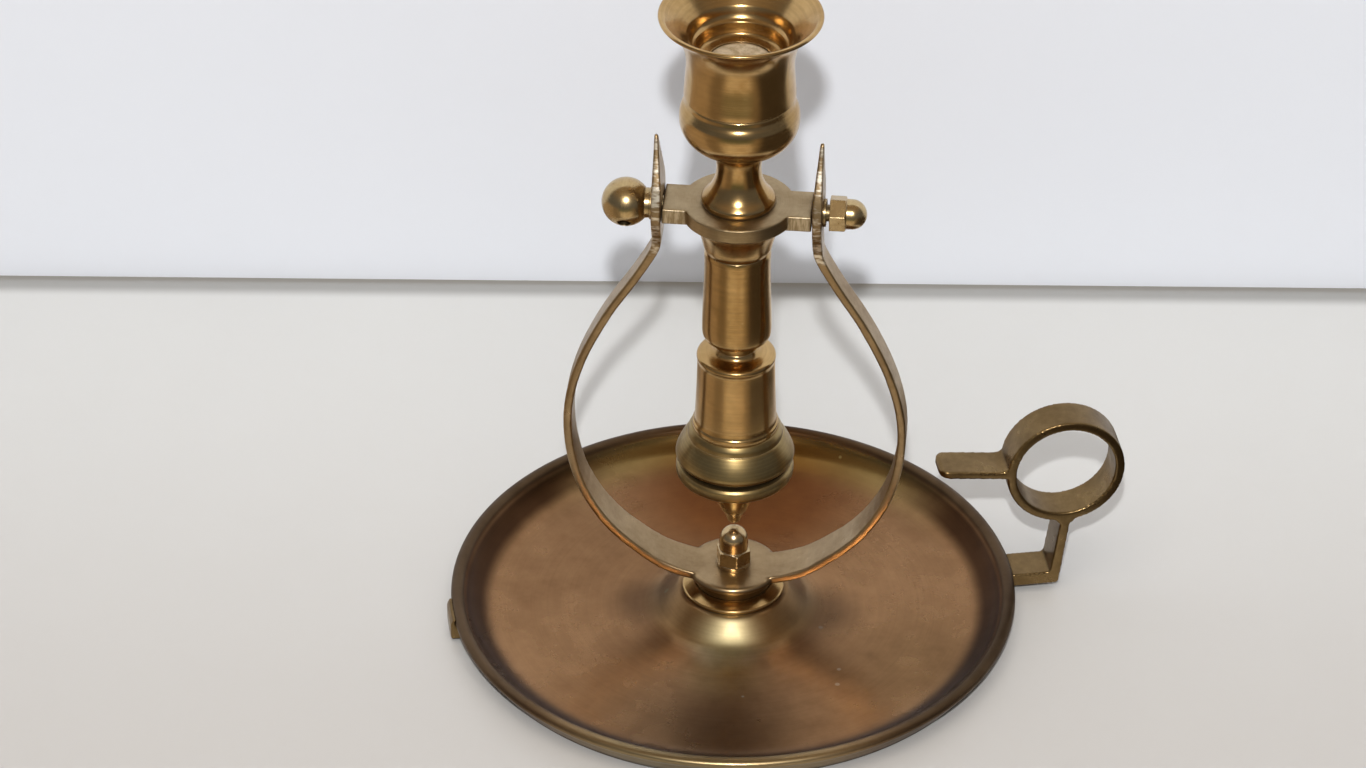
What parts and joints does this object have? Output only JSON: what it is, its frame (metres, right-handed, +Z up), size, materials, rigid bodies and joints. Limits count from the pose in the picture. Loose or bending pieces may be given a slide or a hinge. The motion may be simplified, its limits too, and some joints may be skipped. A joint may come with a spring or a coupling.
{
  "type": "gimbaled candlestick",
  "caption": "Brass chamber candlestick: dished drip pan with ring handle, swivelling yoke and a weighted candle column hung on two pivots so it stays upright.",
  "frame": {"origin": "centre of the pan's foot ring on the plane of the table", "axes": "+Z up along the axis of the pan and the column; +X along the line of the two pivots, towards the acorn-nut pivot and the side the handle is on; -Y towards the viewer"},
  "size_m": [0.1768, 0.15, 0.1839],
  "materials": {
    "pan_brass": "aged satin brass, brown",
    "cast_brass": "aged satin cast brass",
    "strap_brass": "satin brass, lightly scratched",
    "turned_brass": "turned and polished brass, aged",
    "brass_parts": "polished brass fittings",
    "weight_lead": "dull grey cast weight, hidden in the bell"
  },
  "bodies": {
    "base": {"pan": "pan_brass", "cone_collar": "brass_parts", "swivel_disc": "brass_parts", "centre_bolt": "brass_parts", "bolt_washer": "brass_parts", "hub_washer": "brass_parts", "hub_nut": "brass_parts", "handle": "cast_brass", "lug": "cast_brass"},
    "swivel_yoke": {"yoke": "strap_brass"},
    "column": {"gimbal_plate": "strap_brass", "candle_cup": "turned_brass", "candle_seat": "brass_parts", "stem_collar": "turned_brass", "upper_stem": "turned_brass", "lower_stem": "turned_brass", "bell": "turned_brass", "bell_weight": "weight_lead", "bell_ring": "turned_brass", "bell_cap": "turned_brass", "tie_rod": "brass_parts", "finial_nut": "brass_parts", "pivot_stud": "brass_parts", "pivot_washer": "brass_parts", "pivot_nut": "brass_parts"},
    "screw_washer": {"ball_washer": "brass_parts"},
    "locking_screw": {"ball_screw": "brass_parts"}
  },
  "joints": [
    {"name": "yoke_swivel", "type": "hinge", "parent": "base", "child": "swivel_yoke", "pos_m": [0, 0, 0.0135], "axis": [0, 0, 1], "continuous": true},
    {"name": "column_swing", "type": "hinge", "parent": "swivel_yoke", "child": "column", "pos_m": [0, 0, 0.127], "axis": [1, 0, 0], "continuous": true},
    {"name": "screw_travel", "type": "slide", "parent": "column", "child": "screw_washer", "axis": [-1, 0, 0], "range_m": [0, 0.0012]},
    {"name": "screw_turn", "type": "hinge", "parent": "screw_washer", "child": "locking_screw", "pos_m": [-0.02845, 0, 0.127], "axis": [-1, 0, 0], "range_deg": [0, 540]}
  ],
  "couplings": [
    {"joint": "screw_travel", "follows": "screw_turn", "m_per_rad": 0.000095493}
  ]
}
